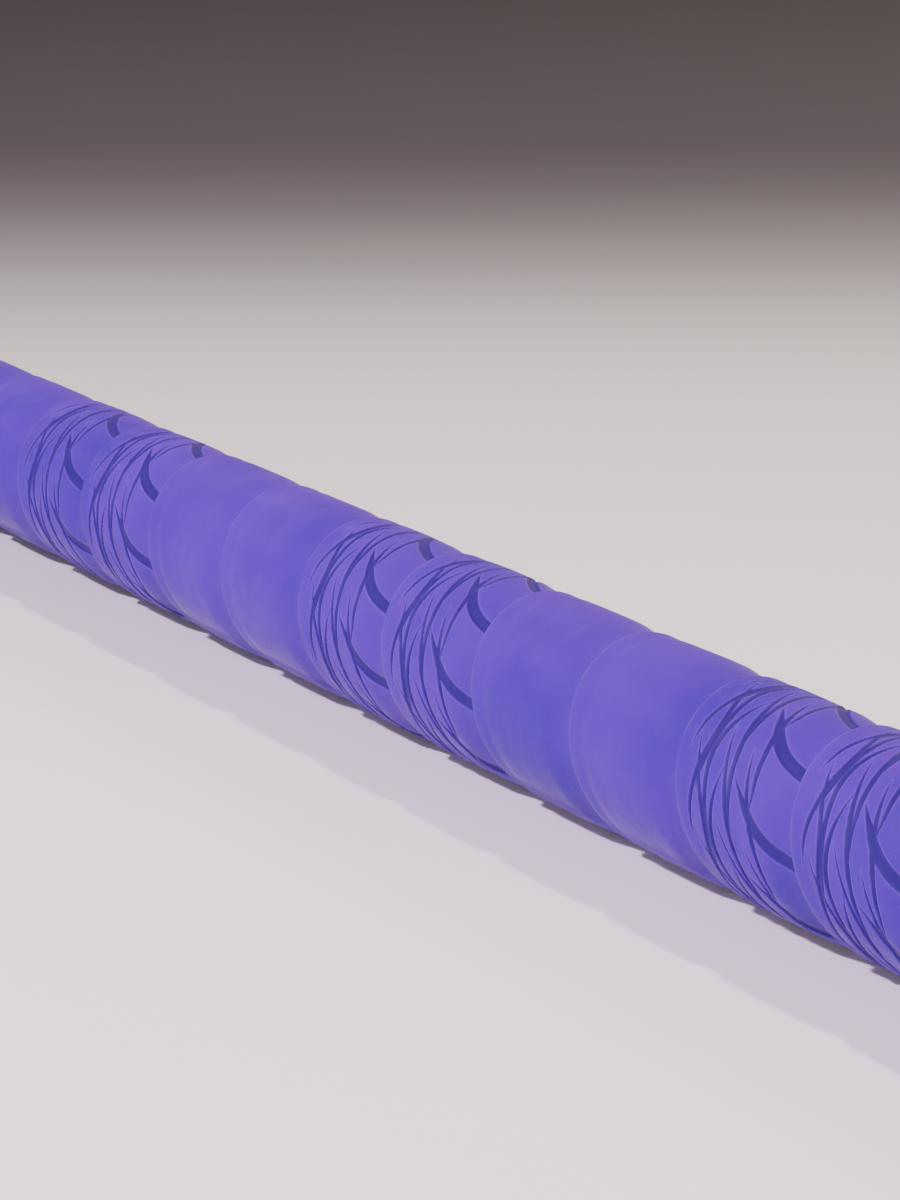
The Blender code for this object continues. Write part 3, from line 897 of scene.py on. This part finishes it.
def make_other_pieces():
    """Materials for the CAD nodes that are shown as they are, and the pieces that replace others."""
    steel = speckled_material(
        "steel", (0.52, 0.52, 0.54), (0.66, 0.66, 0.67), 0.5, (0.2, 0.34), AROUND_X, Metallic=1.0
    )
    plated = speckled_material(
        "plating", PLATING_DULL, PLATING_BRIGHT, 0.9, (0.13, 0.24), Metallic=1.0
    )
    fibreglass = speckled_material(
        "fibreglass",
        (0.36, 0.31, 0.20),
        (0.47, 0.42, 0.29),
        0.35,
        (0.22, 0.34),
        ALONG_X,
        Coat_Weight=0.35,
    )
    nylon = speckled_material("nylon", (0.72, 0.71, 0.65), (0.8, 0.79, 0.74), 0.8, (0.45, 0.55))
    turned = speckled_material(
        "turned_plating", PLATING_DULL, PLATING_BRIGHT, 0.4, (0.14, 0.3), AROUND_X, Metallic=1.0
    )
    rubber = speckled_material(
        "rubber", (0.012, 0.011, 0.017), (0.020, 0.018, 0.027), 0.6, (0.46, 0.6), bump=0.05
    )
    vinyl = speckled_material(
        "vinyl", (0.016, 0.012, 0.05), (0.026, 0.02, 0.075), 1.2, (0.3, 0.42), bump=0.03
    )
    kept = {
        nylon: ["tip_plug"],
        steel: ["ferrule_pin", "thrust_washer", "gate_rivet", "gate_plunger", "gate_spring"]
        + [f"bearing_ball_{number}" for number in range(1, 7)],
    }
    for made, nodes in kept.items():
        for node in nodes:
            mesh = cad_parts[node].data
            mesh.materials.clear()
            mesh.materials.append(made)
    make_tube(fibreglass)
    make_finishing_band(vinyl)
    make_butt_cap(rubber)
    make_ferrule(turned)
    make_spindle(steel)
    make_ring(steel)
    make_hook(plated)
    make_gate(plated)


# ---------------------------------------------------------------- stage

# How far painted shade has darkened the floor, 0 to 1, at distances in metres beyond the middle of
# the wand.
PAINTED_FLOOR_SHADE = [
    (0.02, 0.0),
    (0.17, 0.26),
    (0.27, 0.41),
    (0.32, 0.60),
    (0.37, 0.84),
    (0.43, 0.96),
    (0.5, 1.0),
]
PAINTED_SHADE_REACH = PAINTED_FLOOR_SHADE[-1][0]


def make_floor():
    """A pale floor with painted shade that darkens it far behind the wand, as in a dim room."""
    half = 6.0
    mesh = bpy.data.meshes.new("floor")
    mesh.from_pydata(
        [(-half, -half, 0), (half, -half, 0), (half, half, 0), (-half, half, 0)], [], [(0, 1, 2, 3)]
    )
    floor = link(bpy.data.objects.new("floor", mesh))
    made, tree, shader = new_material("pale_floor", Roughness=0.55)
    place = add(tree, "TexCoord").outputs["Object"]
    turn = math.radians(VIEW_TURN)
    away = add(tree, "VectorMath", {"operation": "DOT_PRODUCT"})
    tree.links.new(place, away.inputs[0])
    away.inputs[1].default_value = (-math.cos(turn), math.sin(turn), 0.0)
    share = add(tree, "MapRange", Value=away.outputs["Value"], From_Max=PAINTED_SHADE_REACH)
    dark = add(tree, "ValToRGB", Fac=share.outputs[0])
    steps = dark.color_ramp
    steps.interpolation = "B_SPLINE"
    while len(steps.elements) < len(PAINTED_FLOOR_SHADE):
        steps.elements.new(0.5)
    for element, (distance, level) in zip(steps.elements, PAINTED_FLOOR_SHADE):
        element.position = distance / PAINTED_SHADE_REACH
        element.color = (level, level, level, 1.0)
    shade = mixed(tree, dark.outputs["Color"], FLOOR_COLOUR, FAR_FLOOR_SHADE_COLOUR)
    tree.links.new(shade, shader.inputs["Base Color"])
    mesh.materials.append(made)


# Each light's place from the focus in metres, its diameter in metres, its watts and its colour.
LIGHTS = {
    "key": ((-0.08, -0.41, 0.41), 0.05, 7.6, KEY_COLOUR),
    "low_fill": ((0.1, -0.74, 0.3), 0.3, 2.9, FILL_COLOUR),
    "back_light": ((-0.1, 0.5, 0.866), 0.05, 9.3, BACK_COLOUR),
    "low_back_light": ((-0.1, 0.84, 0.545), 0.25, 8.9, BACK_COLOUR),
}
SKY_STRENGTH = 0.42


def area_light(name, place, target, size, energy, colour):
    """A round lamp at a place, turned towards a target."""
    lamp = bpy.data.lights.new(name, "AREA")
    lamp.shape = "DISK"
    lamp.size = size
    lamp.energy = energy
    lamp.color = colour
    obj = link(bpy.data.objects.new(name, lamp))
    obj.location = place
    obj.rotation_euler = (target - place).to_track_quat("-Z", "Y").to_euler()


def make_lights():
    """Four soft lamps, and a dim sky that is darker at the wand's far end."""
    focus = on_wand(FOCUS_X)
    world = bpy.data.worlds.new("studio")
    bpy.context.scene.world = world
    world.use_nodes = True
    tree = world.node_tree
    sky = tree.nodes["Background"]
    facing = add(tree, "VectorMath", {"operation": "DOT_PRODUCT"})
    tree.links.new(add(tree, "TexCoord").outputs["Generated"], facing.inputs[0])
    facing.inputs[1].default_value = (-1.0, 0.0, 0.0)
    far_end = ramp(tree, facing.outputs["Value"], 0.0, 0.75)
    tree.links.new(mixed(tree, far_end, SKY_COLOUR, FAR_WALL_COLOUR), sky.inputs["Color"])
    sky.inputs["Strength"].default_value = SKY_STRENGTH
    for name, (offset, size, watts, colour) in LIGHTS.items():
        area_light(name, focus + Vector(offset), focus, size, watts, colour)


def make_camera():
    """The camera looks nearly along the wand, a little down, with a long lens."""
    data = bpy.data.cameras.new("camera")
    data.lens = LENS
    data.clip_start = 0.01
    data.clip_end = 30.0
    camera = link(bpy.data.objects.new("camera", data))
    turn, pitch = math.radians(VIEW_TURN), math.radians(VIEW_PITCH)
    forward = Vector(
        (-math.cos(turn) * math.cos(pitch), math.sin(turn) * math.cos(pitch), -math.sin(pitch))
    )
    camera.location = on_wand(FOCUS_X) + Vector(CAMERA_OFFSET) * MM
    camera.rotation_euler = forward.to_track_quat("-Z", "Y").to_euler()
    bpy.context.scene.camera = camera


make_camera()
make_lights()
make_floor()
make_tape()
make_other_pieces()
